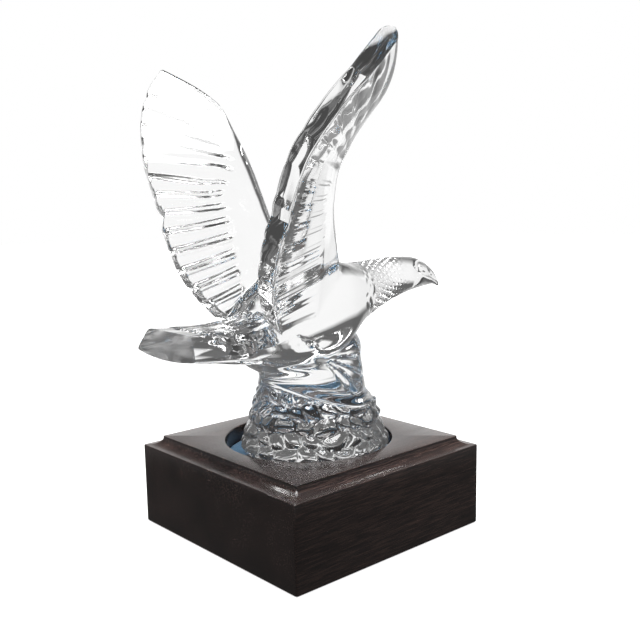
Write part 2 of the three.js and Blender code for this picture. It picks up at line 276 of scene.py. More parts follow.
# Legs with their feather skirt, and the facetted rock: z, middle in x, half length in x, half width.
# Angles round the column are in radians, from the front.
column = {
    "stations": [
        [35.8, 3.6, 34.2, 34.2], [43, 3.6, 33.6, 33.6], [50, 3.4, 31.0, 31.0], [57.6, 3.6, 29.6, 28.6],
        [64, 2.8, 27.2, 25.4], [70, 2.5, 25.2, 23.4], [76, 2.0, 25.4, 22.8], [81, -2.0, 29.5, 22.8],
        [87, -4.0, 33.0, 21.6], [94, -4.0, 30.0, 17.0],
    ],
    "rockRows": 6,
    "rockTop": 73,
    "rockFacets": 22,
    "facetSteps": 8,
    "facetPeak": 1.9,
    "facetValley": -0.8,
    "facetSoftness": 0.2,
    "facetRounding": 2,
    "facetWander": [0.35, 0.2, 0.14],
    "sideWaves": [2.3, 4],
    "turnWaves": 9,
    "rowWaves": [7, 1.7],
    "facetSizeSpread": 0.3,
    "sizeWaves": [12.9, 7.7],
    "facetShares": [0.55, 0.45],
    "rockFootFade": 1.6,
    "rockTuck": 3,
    "tuckHeight": 1.5,
    "legSides": 180,
    "legRings": 64,
    "ringCrowding": 1.2,
    "skirtFront": 60,
    "skirtBack": 71,
    "skirtRise": [1.2, 1.9],
    "skirtOverhang": 1.3,
    "skirtRoll": 1.6,
    "lipDepth": 0.7,
    "lipBelow": 0.2,
    "lipWidth": 1.1,
    "hollowDepth": 1.3,
    "hollowAbove": 5.2,
    "hollowWidth": 2.6,
    "hollowFacing": 1.05,
    "hollowSpread": 0.85,
    "fanCentre": [-11.5, 86.0],
    "fanGrooves": 4,
    "fanDepth": 1.7,
    "fanStart": -0.15,
    "fanSpread": 0.95,
    "fanFrom": [2.5, 5],
    "fanUntil": [24, 8],
    "fanSides": [2, 0.3],
    "fanSharpness": 0.7,
    "leafCentre": [-19.5, 83.6],
    "leafSize": [6.5, 2.4],
    "leafTaper": [1.6, 0.8],
    "leafDepth": 1.3,
}


def columnPoint(z, angle, swell):
    middle, halfLength, halfWidth = readTable(column["stations"], z)
    x = middle + (halfLength + swell) * np.cos(angle)
    return np.stack([x, (halfWidth + swell) * np.sin(angle), z], -1)


def skirtEdge(angle):
    fromFront = np.minimum(angle, 2 * np.pi - angle)
    riseFrom, riseLength = column["skirtRise"]
    return mix(column["skirtFront"], column["skirtBack"], ease((fromFront - riseFrom) / riseLength))


def rockPiece():
    steps = column["facetSteps"]
    count, rows = column["rockFacets"] * 2, column["rockRows"]
    foot = column["stations"][0][0]
    side = np.arange(count * steps)[None, :] / steps
    row = np.arange(rows * steps + 1)[:, None] / steps
    angle = side / count * 2 * np.pi
    # wide flat facets in staggered rows, each a little different from the next
    byRow, byTurn, upDown = column["facetWander"]
    perRow, perTurn = column["sideWaves"]
    sideAt = side + byRow * np.sin(perRow * row + perTurn * angle)
    sideAt = sideAt + byTurn * np.sin(column["turnWaves"] * angle + row)
    perTurn, perRow = column["rowWaves"]
    rowAt = row + upDown * np.sin(perTurn * angle + perRow * row) * ease(row)
    rowIndex = np.round(rowAt)
    sideways = (sideAt - rowIndex) / 2
    sideways = np.abs(sideways - np.round(sideways)) * 2
    upward = np.abs(rowAt - rowIndex) * 2
    perRow, perSide = column["sizeWaves"]
    sizeWave = np.sin(perRow * rowIndex + perSide * np.round((sideAt - rowIndex) / 2))
    size = 1 + column["facetSizeSpread"] * sizeWave
    soft = column["facetSoftness"]
    sideShare, upShare = column["facetShares"]
    ridge = np.sqrt(np.maximum(sideways ** 2 * sideShare + upward ** 2 * upShare, 0) + soft ** 2) - soft
    edge = np.maximum(sideways ** 6, upward ** 4)
    swell = column["facetPeak"] * size * (1 - ridge) + column["facetValley"] * edge
    swell = mix(column["facetValley"], swell, ease(row * column["rockFootFade"]))
    for _ in range(column["facetRounding"]):
        beside = (np.roll(swell, 1, 1) + np.roll(swell, -1, 1)) / 2
        aboveBelow = np.concatenate([swell[:1], (swell[2:] + swell[:-2]) / 2, swell[-1:]])
        swell = swell / 2 + (beside + aboveBelow) / 4
    z = mix(foot, column["rockTop"], row / rows) + 0 * angle
    swell = mix(swell, -column["rockTuck"], ease((z - skirtEdge(angle)) / column["tuckHeight"]))
    middle = column["stations"][0][1]
    rings = columnPoint(z, angle + 0 * z, swell)
    return loft("rock", rings, [middle, 0, foot], [middle, 0, column["rockTop"]])


def legCarving(points, angle):
    # thigh feathers, a fan of grooves that spreads from the hip towards the front, and a leaf behind it
    right = points[..., 0] - column["fanCentre"][0]
    down = column["fanCentre"][1] - points[..., 2]
    spread = np.arctan2(down, right)
    far = np.hypot(right, down)
    lane = (spread - column["fanStart"]) / column["fanSpread"] * column["fanGrooves"]
    inFan = ease(lane + 0.5) * (1 - ease(lane - column["fanGrooves"] + 0.5))
    (nearEnd, nearFade), (farEnd, farFade) = column["fanFrom"], column["fanUntil"]
    reach = ease((far - nearEnd) / nearFade) * (1 - ease((far - farEnd) / farFade))
    steep, start = column["fanSides"]
    onSide = ease(np.abs(np.sin(angle)) * steep - start)
    valley = 1 - np.abs(np.sin(np.pi * lane)) ** column["fanSharpness"]
    groove = column["fanDepth"] * valley * inFan * reach * onSide
    leafRight = (points[..., 0] - column["leafCentre"][0]) / column["leafSize"][0]
    leafUp = (points[..., 2] - column["leafCentre"][1]) / column["leafSize"][1]
    narrow, taper = column["leafTaper"]
    leaf = np.maximum(0, 1 - np.hypot(leafRight, leafUp * (narrow - taper * leafRight)))
    return groove + column["leafDepth"] * leaf * onSide


def legPiece():
    top = column["stations"][-1][0]
    angle = np.arange(column["legSides"])[None, :] / column["legSides"] * 2 * np.pi
    level = ((np.arange(column["legRings"] + 1) / column["legRings"]) ** column["ringCrowding"])[:, None]
    edge = skirtEdge(angle)
    z = mix(edge, top, level)
    above = z - edge
    lip = 1 - bell(above + column["lipBelow"], column["lipWidth"]) * column["lipDepth"]
    swell = column["skirtOverhang"] * (1 - level) * lip
    # a hollow above the rolled lip, deepest at the front quarters
    quarter = bell(np.minimum(angle, 2 * np.pi - angle) - column["hollowFacing"], column["hollowSpread"])
    hollow = bell(above - column["hollowAbove"], column["hollowWidth"]) * quarter
    swell = swell - column["hollowDepth"] * hollow
    points = columnPoint(z, angle + 0 * z, swell)
    groove = legCarving(points, angle)
    points[..., 0] -= groove * np.cos(angle)
    points[..., 1] -= groove * np.sin(angle)
    tucked = columnPoint(edge + column["skirtRoll"] / 2, angle, -2 * column["skirtOverhang"])
    middle = column["stations"][0][1]
    under = [middle, 0, (column["skirtFront"] + column["skirtBack"]) / 2]
    return loft("legs", np.concatenate([tucked, points]), under, [middle, 0, top])


# Wings: the left one's curves from its top to its root, and the carving on its two faces. Rows and
# columns are shares of the way down and across.
wing = {
    "leadingEdge": [
        (-7.4, 49.6, 197), (-8.2, 40.5, 187), (-8.2, 33.0, 178), (-7.4, 27.3, 168), (-5.6, 23.5, 157),
        (-2.8, 20.4, 145), (2.0, 18.4, 131.5), (5.0, 18.0, 116), (5.0, 16.0, 100),
    ],
    "featherRoots": [
        (-7.5, 52.3, 199), (-12.5, 46.1, 189.5), (-18.0, 42.4, 181), (-22.0, 38.0, 171.5),
        (-21.5, 33.6, 161.5), (-18.0, 28.8, 150.5), (-15.5, 24.9, 137), (-14.0, 22.0, 121.5),
        (-12.0, 17.5, 104),
    ],
    "trailingEdge": [
        (-23.3, 79.2, 219.2), (-34.6, 76.2, 206), (-44.1, 67.1, 191), (-50.1, 56.5, 174.5),
        (-50.7, 47.1, 157.5), (-50.9, 38.9, 140), (-48.1, 30.4, 122.5), (-39.6, 22.0, 107.5),
        (-28.0, 14.0, 96),
    ],
    "feathers": 16,
    "rowsPerFeather": 18,
    "finestRows": [0.001, 0.003, 0.006],
    "noseColumns": 8,
    "middleColumns": [0.44, 10],
    "rearColumns": [0.97, 20],
    "arrisColumns": [0.978, 0.984, 0.9904, 0.9952, 0.9987],
    "thicknessRoot": 8.6,
    "thicknessTip": 8.2,
    "thickeningRows": 1.6,
    "upperEdgeBulge": 3.2,
    "upperEdgeRows": 4,
    "normalStep": 0.004,
    "normalRows": [0.01, 0.02, 0.99],
    "outerGrooveTip": 0.95,
    "outerGrooveRoot": 0.5,
    "outerGrooveFrom": [
        (0, 0.3), (0.1, 0.4), (0.2, 0.3), (0.3, 0.14), (0.42, 0.14), (0.55, 0.3), (1, 0.42),
    ],
    "innerGrooveDepth": 0.16,
    "grooveSharpness": 1.3,
    "grooveFade": 0.1,
    "grooveUntil": 0.95,
    "grooveTopRows": 8,
    "grooveLean": 1.0,
    "leanFrom": 0.36,
    "leanFade": 0.1,
    "barbs": 3,
    "barbsFrom": 0.36,
    "barbFade": 0.15,
    "barbDepth": 0.42,
    "farGrooves": 0.4,
    "scallopDepth": 0.9,
    "scallopSharpness": 1.5,
    "scallopFrom": 0.56,
    "scallopFade": 0.08,
    "outerScallops": 0.2,
    "edgeSteps": [(0.15, 0.9), (0.33, 1.2), (0.41, 0.9), (0.5, 0.7)],
    "edgeStepWidth": 0.035,
    "notchFeather": 9,
    "notchDepth": 2.2,
    "notchWidth": 0.6,
    "insetFrom": 0.6,
    "bossCentre": [-7.5, 169.5],
    "bossRadii": [12, 17],
    "bossHeight": 0.35,
    "bossBlend": 0.3,
    "middleHalves": [(0, 5.3), (0.3, 5.4), (0.45, 6.0), (0.7, 7.0), (1, 7.0)],
    "frontHalves": [(0, 5.0), (0.3, 5.0), (0.5, 4.6), (1, 5.0)],
    "thickestAt": 0.45,
    "lowerDeepening": [(0, 1), (0.35, 1.2), (0.5, 1.7), (0.75, 2.2), (1, 1.8)],
    "rootShare": 0.3,
    "noseShare": 0.17,
    "nosePower": 0.62,
    "arrisShares": [0.016, 0.03],
    "arrisRounds": [0.7, 1.3],
}
leadingCurve = curveThrough(wing["leadingEdge"])
rootCurve = curveThrough(wing["featherRoots"])
trailingCurve = curveThrough(wing["trailingEdge"])


def wingMiddle(row, across, scalloped=0.0, notched=1.0):
    # the middle of the wing's thickness; row 0 is the top, across 0 the leading edge
    leading, root, trailing = leadingCurve(row), rootCurve(row), trailingCurve(row)
    share = wing["rootShare"]
    front = leading + (root - leading) * np.clip(across / share, 0, 1)[..., None]
    along = np.clip((across - share) / (1 - share), 0, 1)
    inFeather = (row * wing["feathers"]) % 1
    sharp = wing["scallopSharpness"]
    lowerRows = ease((row - wing["scallopFrom"]) / wing["scallopFade"])
    scallop = wing["scallopDepth"] * (1 - np.sin(np.pi * inFeather)) ** sharp * lowerRows
    for place, depth in wing["edgeSteps"]:
        scallop = scallop + depth * np.maximum(0, 1 - np.abs(row - place) / wing["edgeStepWidth"]) ** sharp
    fromNotch = np.abs(row * wing["feathers"] - wing["notchFeather"])
    atNotch = np.maximum(0, 1 - fromNotch / wing["notchWidth"]) * notched
    length = np.linalg.norm(trailing - root, axis=-1)
    inset = (scallop * scalloped + wing["notchDepth"] * atNotch) / length
    reach = along * (1 - inset * ease((along - wing["insetFrom"]) / (1 - wing["insetFrom"])))
    back = root + (trailing - root) * reach[..., None]
    atTop = 1 - ease(row * wing["upperEdgeRows"])
    back[..., 0] += wing["upperEdgeBulge"] * np.sin(np.pi * along) * atTop
    return np.where((across <= share)[..., None], front, back)


def wingNormal(row, across):
    step = wing["normalStep"]
    low = np.clip(across - step, 0, 1 - 2 * step)
    first, second, last = wing["normalRows"]
    below, above = np.clip(row + step, second, 1), np.clip(row - step, first, last)
    down = wingMiddle(below, low, 0, 0) - wingMiddle(above, low, 0, 0)
    back = wingMiddle(row, low + 2 * step, 0, 0) - wingMiddle(row, low, 0, 0)
    normal = np.cross(down, back)
    normal /= np.linalg.norm(normal, axis=-1, keepdims=True)
    return np.where(normal[..., 1:2] < 0, -normal, normal)


def rowValue(name, row):
    return np.interp(row, *zip(*wing[name]))


def featherGrooves(row, across, outside, side):
    # grooves deepen as the feathers widen; the outer ones reach nearer to the leading edge and lean
    if outside:
        grooveFrom = rowValue("outerGrooveFrom", row)
        depth = mix(wing["outerGrooveRoot"], wing["outerGrooveTip"], np.clip(across, 0, 1))
        depth = depth * rowValue("lowerDeepening", row)
    else:
        grooveFrom = wing["rootShare"]
        depth = wing["innerGrooveDepth"]
    onFeathers = ease((across - grooveFrom) / wing["grooveFade"])
    atEdge = 1 - ease((across - wing["grooveUntil"]) / (1 - wing["grooveUntil"]))
    leaning = ease((row - wing["leanFrom"]) / wing["leanFade"])
    lean = wing["grooveLean"] * (1 - across) * leaning * outside
    turn = 2 * np.pi * (row * wing["feathers"] - lean)
    wave = (0.5 + 0.5 * np.cos(turn)) ** wing["grooveSharpness"]
    barb = 0.5 + 0.5 * np.cos(wing["barbs"] * turn)
    finer = wing["barbDepth"] * ease((row - wing["barbsFrom"]) / wing["barbFade"]) * outside
    # the far wing's grooves show much fainter
    strength = 1 if side > 0 else wing["farGrooves"]
    groove = ((depth - finer) * wave + finer * barb) * strength
    return groove * onFeathers * ease(row * wing["grooveTopRows"]) * atEdge


def wingHalf(row, across):
    # half the wing's thickness
    nose, thickest = wing["noseShare"], wing["thickestAt"]
    edgeHalf = mix(wing["thicknessTip"], wing["thicknessRoot"], ease(row * wing["thickeningRows"])) / 2
    towardsMiddle = ease((across - nose) / (thickest - nose))
    middleHalf = mix(rowValue("frontHalves", row), rowValue("middleHalves", row), towardsMiddle)
    return mix(middleHalf, edgeHalf, np.clip((across - thickest) / (1 - thickest), 0, 1))


def wingFace(row, across, face, side):
    middle = wingMiddle(row, across, wing["outerScallops"] if face > 0 else 1.0)
    groove = featherGrooves(row, across, face > 0, side)
    sideways = (middle[..., 0] - wing["bossCentre"][0]) / wing["bossRadii"][0]
    upward = (middle[..., 2] - wing["bossCentre"][1]) / wing["bossRadii"][1]
    boss = wing["bossHeight"] * ease((1 - np.hypot(sideways, upward)) / wing["bossBlend"])
    inNose = np.clip(1 - across / wing["noseShare"], 0, 1)
    noseEdge = (1 - inNose ** 2) ** wing["nosePower"]
    fromTop = np.clip(1 - row * wing["feathers"] * 2, 0, 1)
    topEdge = np.sqrt(1 - fromTop ** 2)
    # the trailing edge's two arrises are slightly rounded
    arrisShare, arrisRound = wing["arrisShares"][face < 0], wing["arrisRounds"][face < 0]
    pastArris = np.clip((across - 1 + arrisShare) / arrisShare, 0, 1)
    arris = arrisRound * (1 - np.sqrt(1 - pastArris ** 2))
    offset = (wingHalf(row, across) - groove + boss - arris) * noseEdge * topEdge
    return middle + wingNormal(row, across) * (offset * face)[..., None]


def wingPiece(side):
    perFeather = wing["rowsPerFeather"]
    fine = np.arange(perFeather) / perFeather
    rows = (np.arange(wing["feathers"])[:, None] + fine[None, :]).ravel() / wing["feathers"]
    rows = np.unique(np.concatenate([rows, wing["finestRows"], [1]]))[:, None]
    nose = wing["noseShare"] * (1 - np.cos(np.linspace(0, np.pi / 2, wing["noseColumns"])))[1:]
    (middle, middleCount), (rear, rearCount) = wing["middleColumns"], wing["rearColumns"]
    columns = np.concatenate([
        nose, np.linspace(wing["noseShare"], middle, middleCount)[1:],
        np.linspace(middle, rear, rearCount)[1:], wing["arrisColumns"], [1],
    ])[None, :]
    row, across = np.broadcast_arrays(rows, columns)
    outer = wingFace(row, across, 1, side)
    inner = wingFace(row, across, -1, side)[:, ::-1]
    edge = wingMiddle(rows, np.zeros_like(rows))
    rings = np.concatenate([edge, outer, inner], 1)
    rings[..., 1] *= side
    return loft("wing", rings, None, rings[-1].mean(0))


def eyePiece(side):
    x, y, z = body["eyePlace"]
    mesh = bpy.data.meshes.new("eye")
    shape = bmesh.new()
    bmesh.ops.create_icosphere(shape, subdivisions=body["eyeFineness"], radius=body["eyeRadius"])
    bmesh.ops.translate(shape, verts=shape.verts, vec=(x, side * y, z))
    shape.to_mesh(mesh)
    shape.free()
    piece = bpy.data.objects.new("eye", mesh)
    bpy.context.scene.collection.objects.link(piece)
    return piece


# The eagle is one solid: its forms are joined, and the creases between them are eased
joint = {
    "creaseAngle": 28,
    "onSurface": 0.04,
    "weld": 0.02,
    "smallest": 0.01,
    "easeReach": 2.6,
    "easeRounds": 14,
    "easeShare": 0.5,
    "sharpAngle": 40,
}


def eagleMesh():
    whole = bodyPiece()
    limbs = [legPiece(), wingPiece(1), wingPiece(-1)]
    others = [*limbs, rockPiece(), eyePiece(1), eyePiece(-1)]
    graph = bpy.context.evaluated_depsgraph_get()
    bodySkin = bvhtree.BVHTree.FromObject(whole, graph)
    limbSkins = [bvhtree.BVHTree.FromObject(limb, graph) for limb in limbs]
    for other in others:
        union = whole.modifiers.new("join", "BOOLEAN")
        union.operation, union.solver, union.object = "UNION", "MANIFOLD", other
    graph = bpy.context.evaluated_depsgraph_get()
    mesh = bpy.data.meshes.new_from_object(whole.evaluated_get(graph))
    mesh.name = "crystalEagle"
    mesh.materials.clear()
    for piece in [whole, *others]:
        bpy.data.objects.remove(piece)
    return mesh, bodySkin, limbSkins


def easeCreases(mesh, bodySkin, limbSkins):
    # only where the legs and wings run into the body: the carving stays crisp
    shape = bmesh.new()
    shape.from_mesh(mesh)
    bmesh.ops.remove_doubles(shape, verts=shape.verts, dist=joint["weld"])
    bmesh.ops.dissolve_degenerate(shape, edges=shape.edges, dist=joint["smallest"])
    bmesh.ops.triangulate(shape, faces=shape.faces)
    shape.verts.ensure_lookup_table()
    crease = [
        e for e in shape.edges
        if len(e.link_faces) == 2 and not e.is_convex
        and e.calc_face_angle(0) > math.radians(joint["creaseAngle"])
    ]
    middles = [(e.verts[0].co + e.verts[1].co) / 2 for e in crease]
    near = joint["onSurface"]
    places = [
        place for place in middles
        if bodySkin.find_nearest(place, near)[0] is not None
        and any(skin.find_nearest(place, near)[0] is not None for skin in limbSkins)
    ]
    tree = kdtree.KDTree(len(places))
    for index, place in enumerate(places):
        tree.insert(place, index)
    tree.balance()
    reach = joint["easeReach"]
    weights = {}
    for vertex in shape.verts:
        distance = tree.find(vertex.co)[2]
        if distance < reach:
            weights[vertex] = 1 - distance / reach
    for _ in range(joint["easeRounds"]):
        moved = {}
        for vertex, weight in weights.items():
            around = [e.other_vert(vertex).co for e in vertex.link_edges]
            middle = sum(around, Vector()) / len(around)
            moved[vertex] = vertex.co.lerp(middle, joint["easeShare"] * weight)
        for vertex, place in moved.items():
            vertex.co = place
    print("creases eased:", len(places), "edges,", len(weights), "points")
    shape.to_mesh(mesh)
    shape.free()


def finishMesh(mesh, sharpAngle):
    mesh.transform(Matrix.Scale(mm, 4))
    mesh.polygons.foreach_set("use_smooth", [True] * len(mesh.polygons))
    mesh.set_sharp_from_angle(angle=math.radians(sharpAngle))
    mesh.update()


eagle, bodySkin, limbSkins = eagleMesh()
print("eagle joined:", len(eagle.polygons), "faces")
easeCreases(eagle, bodySkin, limbSkins)
finishMesh(eagle, joint["sharpAngle"])
crystalEagle = bpy.data.objects.new("crystalEagle", eagle)
bpy.context.scene.collection.objects.link(crystalEagle)
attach(crystalEagle, "root")
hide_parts("crystal_eagle")
print("eagle built:", len(eagle.polygons), "faces")


# Plinth: square rings with softened corners, from the underside up and over into the round recess
plinth = {
    "side": 114,
    "height": 43,
    "moldingInset": 6.8,
    "moldingDrop": 4.3,
    "moldingLip": 0.7,
    "cornerRound": 0.9,
    "arrisRound": 0.35,
    "footRound": 0.7,
    "recessRadius": 39.9,
    "recessDepth": 9,
    "recessRound": 0.5,
    "recessCollar": 1,
    "wallLoops": [3, 2],
    "perSide": 24,
    "perCorner": 6,
    "roundSteps": 5,
    "moldingSteps": 15,
    "topArrisSteps": 4,
    "beadSteps": 6,
    "sharpAngle": 17,
}


def squareRing(half, height, corner):
    perSide, perCorner = plinth["perSide"], plinth["perCorner"]
    points = []
    for quarter in range(4):
        turn = quarter * math.pi / 2
        flat = half - corner
        local = [(half, mix(-flat, flat, step / perSide)) for step in range(perSide)]
        for step in range(perCorner):
            angle = step / perCorner * math.pi / 2
            local.append((flat + corner * math.cos(angle), flat + corner * math.sin(angle)))
        cosine, sine = math.cos(turn), math.sin(turn)
        points += [(x * cosine - y * sine, x * sine + y * cosine, height) for x, y in local]
    return points


def roundRing(radius, height):
    sharpCorner = 0.02
    square = squareRing(1, 0, sharpCorner)
    return [(radius * x / math.hypot(x, y), radius * y / math.hypot(x, y), height) for x, y, _ in square]


def quarterTurn(steps):
    return np.linspace(0, np.pi / 2, steps)


def plinthMesh():
    p = plinth
    half, top = p["side"] / 2, p["height"]
    inner = half - p["moldingInset"]
    low, high = top - p["moldingDrop"], top - p["moldingLip"]
    arris, foot, corner = p["arrisRound"], p["footRound"], p["cornerRound"]
    steps = p["roundSteps"]
    rings = [squareRing(half - foot, 0, corner)]
    for angle in quarterTurn(steps)[1:]:
        out = half - foot * (1 - math.sin(angle))
        rings.append(squareRing(out, foot * (1 - math.cos(angle)), corner))
    rings += [squareRing(half, height, corner) for height in np.linspace(foot, low - arris, steps)[1:]]
    for angle in quarterTurn(steps)[1:]:
        out = half - arris * (1 - math.cos(angle))
        rings.append(squareRing(out, low - arris * (1 - math.sin(angle)), corner))
    for angle in quarterTurn(p["moldingSteps"])[1:]:
        out = mix(half - arris, inner, math.sin(angle))
        rings.append(squareRing(out, high - (high - low) * math.cos(angle), corner))
    rings.append(squareRing(inner, top - arris / 2, corner))
    for angle in quarterTurn(p["topArrisSteps"])[1:]:
        out = inner - arris / 2 * (1 - math.cos(angle))
        rings.append(squareRing(out, top - arris / 2 * (1 - math.sin(angle)), corner))
    radius, bead = p["recessRadius"], p["recessRound"]
    rings.append(roundRing(radius + bead + p["recessCollar"], top))
    for angle in quarterTurn(p["beadSteps"]):
        rings.append(roundRing(radius + bead * (1 - math.sin(angle)), top - bead * (1 - math.cos(angle))))
    floor = top - p["recessDepth"]
    underTop, overFloor = p["wallLoops"]
    rings += [roundRing(radius, height) for height in (top - underTop, floor + overFloor, floor)]
    rings.append(roundRing(radius / 2, floor))
    return loft("plinth", np.array(rings), [0, 0, 0], [0, 0, floor])


woodPlinth = plinthMesh()
woodPlinth.name = "woodPlinth"
finishMesh(woodPlinth.data, plinth["sharpAngle"])
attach(woodPlinth, "root")
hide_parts("wood_plinth")
print("plinth built:", len(woodPlinth.data.polygons), "faces")


# Felt: a thin round piece with a rounded edge and a slightly uneven nap
felt = {
    "radius": 39.5,
    "bottom": 34.3,
    "thickness": 1.2,
    "edgeShare": 0.35,
    "napHeight": 0.07,
    "napAround": 9,
    "napAcross": 1.9,
    "innerRadius": 1,
    "rings": 40,
    "sides": 160,
    "sharpAngle": 50,
}


def feltMesh():
    f = felt
    angle = np.arange(f["sides"]) / f["sides"] * 2 * np.pi
    edge = f["thickness"] * f["edgeShare"]
    profile = [(f["radius"] - edge, f["bottom"]), (f["radius"], f["bottom"] + edge)]
    profile += [(f["radius"], f["bottom"] + f["thickness"] - edge)]
    top = f["bottom"] + f["thickness"]
    profile += [(radius, top) for radius in np.linspace(f["radius"] - edge, f["innerRadius"], f["rings"])]
    rings = []
    for radius, height in profile:
        wave = np.sin(f["napAround"] * angle + radius) * np.sin(f["napAcross"] * radius)
        nap = f["napHeight"] * (wave - 1) * (height == top)
        rings.append(np.stack([radius * np.cos(angle), radius * np.sin(angle), height + nap], -1))
    return loft("felt", np.array(rings), [0, 0, f["bottom"]], [0, 0, top - f["napHeight"]])


feltLiner = feltMesh()
feltLiner.name = "feltLiner"
finishMesh(feltLiner.data, felt["sharpAngle"])
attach(feltLiner, "root")
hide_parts("felt_liner")
print("felt built:", len(feltLiner.data.polygons), "faces")


# Materials
def newMaterial(name):
    material = bpy.data.materials.new(name)
    material.use_nodes = True
    tree = material.node_tree
    tree.nodes.clear()
    output = tree.nodes.new("ShaderNodeOutputMaterial")
    shader = tree.nodes.new("ShaderNodeBsdfPrincipled")
    tree.links.new(shader.outputs[0], output.inputs[0])
    return material, tree, shader


def addNode(tree, kind, **settings):
    node = tree.nodes.new(kind)
    for name, value in settings.items():
        if hasattr(node, name):
            setattr(node, name, value)
        else:
            node.inputs[name].default_value = value
    return node


def fineNoise():
    # fine uneven noise at a stretch and scale, used by every finish: a mask and a second, larger mask
    group = bpy.data.node_groups.new("fineNoise", "ShaderNodeTree")
    for name, value in (("Scale", 400.0), ("Patch Scale", 30.0), ("Detail", 4.0)):
        socket = group.interface.new_socket(name, in_out="INPUT", socket_type="NodeSocketFloat")
        socket.default_value = value
    stretch = group.interface.new_socket("Stretch", in_out="INPUT", socket_type="NodeSocketVector")
    stretch.default_value = (1, 1, 1)
    group.interface.new_socket("Fine", in_out="OUTPUT", socket_type="NodeSocketFloat")
    group.interface.new_socket("Patches", in_out="OUTPUT", socket_type="NodeSocketFloat")
    given, made = group.nodes.new("NodeGroupInput"), group.nodes.new("NodeGroupOutput")
    place = group.nodes.new("ShaderNodeTexCoord")
    stretched = group.nodes.new("ShaderNodeVectorMath")
    stretched.operation = "MULTIPLY"
    fine, patches = group.nodes.new("ShaderNodeTexNoise"), group.nodes.new("ShaderNodeTexNoise")
    links = group.links
    links.new(place.outputs["Object"], stretched.inputs[0])
    links.new(given.outputs["Stretch"], stretched.inputs[1])
    links.new(stretched.outputs[0], fine.inputs["Vector"])
    links.new(stretched.outputs[0], patches.inputs["Vector"])
    links.new(given.outputs["Scale"], fine.inputs["Scale"])
    links.new(given.outputs["Patch Scale"], patches.inputs["Scale"])
    links.new(given.outputs["Detail"], fine.inputs["Detail"])
    links.new(fine.outputs[0], made.inputs["Fine"])
    links.new(patches.outputs[0], made.inputs["Patches"])
    return group


noiseGroup = fineNoise()


def placeNoise(tree, scale, patchScale, stretch=(1, 1, 1), detail=4.0):
    node = tree.nodes.new("ShaderNodeGroup")
    node.node_tree = noiseGroup
    node.inputs["Scale"].default_value = scale
    node.inputs["Patch Scale"].default_value = patchScale
    node.inputs["Detail"].default_value = detail
    node.inputs["Stretch"].default_value = stretch
    return node


def ramp(tree, source, stops):
    node = tree.nodes.new("ShaderNodeValToRGB")
    elements = node.color_ramp.elements
    for element, (position, colour) in ((elements[0], stops[0]), (elements[1], stops[-1])):
        element.position = position
        element.color = (*colour, 1)
    for position, colour in stops[1:-1]:
        elements.new(position).color = (*colour, 1)
    tree.links.new(source, node.inputs[0])
    return node.outputs[0]


def span(tree, source, low, high, fromLow=0.0, fromHigh=1.0):
    node = tree.nodes.new("ShaderNodeMapRange")
    node.inputs["From Min"].default_value = fromLow
    node.inputs["From Max"].default_value = fromHigh
    node.inputs["To Min"].default_value = low
    node.inputs["To Max"].default_value = high
    tree.links.new(source, node.inputs["Value"])
    return node.outputs[0]


def grey(value):
    return (value, value, value)


def bump(tree, shader, height, strength, distance):
    node = tree.nodes.new("ShaderNodeBump")
    node.inputs["Strength"].default_value = strength
    node.inputs["Distance"].default_value = distance
    tree.links.new(height, node.inputs["Height"])
    tree.links.new(node.outputs[0], shader.inputs["Normal"])


crystal = {
    "clear": (1.0, 1.0, 1.0),
    "cloudy": (0.985, 0.988, 0.985),
    "ior": 1.545,
    "polished": 0.0,
    "smudged": 0.018,
    # strength of the painted glow, light that the glass gives off itself
    "paintedGlow": 0.008,
    "rippleScale": 90,
    "rippleStrength": 0.05,
    "rippleHeight": 0.0004,
    "patchScale": 40,
    "cloudFrom": 0.4,
    "cloudTo": 0.7,
    "smudgeFrom": 0.45,
    "smudgeTo": 0.8,
    "tailEndAt": -0.1033,
    "tailEndBlend": 0.0004,
    "tailEndRough": 0.3,
}


def crystalFinish():
    material, tree, shader = newMaterial("clearCrystal")
    noise = placeNoise(tree, crystal["rippleScale"], crystal["patchScale"], detail=1.0)
    patches = noise.outputs["Patches"]
    stops = [(crystal["cloudFrom"], crystal["clear"]), (crystal["cloudTo"], crystal["cloudy"])]
    tree.links.new(ramp(tree, patches, stops), shader.inputs["Base Color"])
    polished, smudged = crystal["polished"], crystal["smudged"]
    rough = span(tree, patches, polished, smudged, crystal["smudgeFrom"], crystal["smudgeTo"])
    # the slanted face at the end of the tail is ground less finely
    place = tree.nodes.new("ShaderNodeTexCoord")
    backward = addNode(tree, "ShaderNodeVectorMath", operation="DOT_PRODUCT")
    tree.links.new(place.outputs["Object"], backward.inputs[0])
    backward.inputs[1].default_value = (1, 0, -body["tailSlant"])
    end, blend = crystal["tailEndAt"], crystal["tailEndBlend"]
    onEnd = span(tree, backward.outputs["Value"], crystal["tailEndRough"], 0, end - blend, end)
    higher = addNode(tree, "ShaderNodeMath", operation="MAXIMUM")
    tree.links.new(rough, higher.inputs[0])
    tree.links.new(onEnd, higher.inputs[1])
    tree.links.new(higher.outputs[0], shader.inputs["Roughness"])
    shader.inputs["Transmission Weight"].default_value = 1.0
    shader.inputs["IOR"].default_value = crystal["ior"]
    # a faint painted glow: the glass emits a little light of its own, standing in for light scattered
    # inside the thick glass, and keeps its deepest parts grey
    shader.inputs["Emission Color"].default_value = (1, 1, 1, 1)
    shader.inputs["Emission Strength"].default_value = crystal["paintedGlow"]
    bump(tree, shader, noise.outputs["Fine"], crystal["rippleStrength"], crystal["rippleHeight"])
    return material


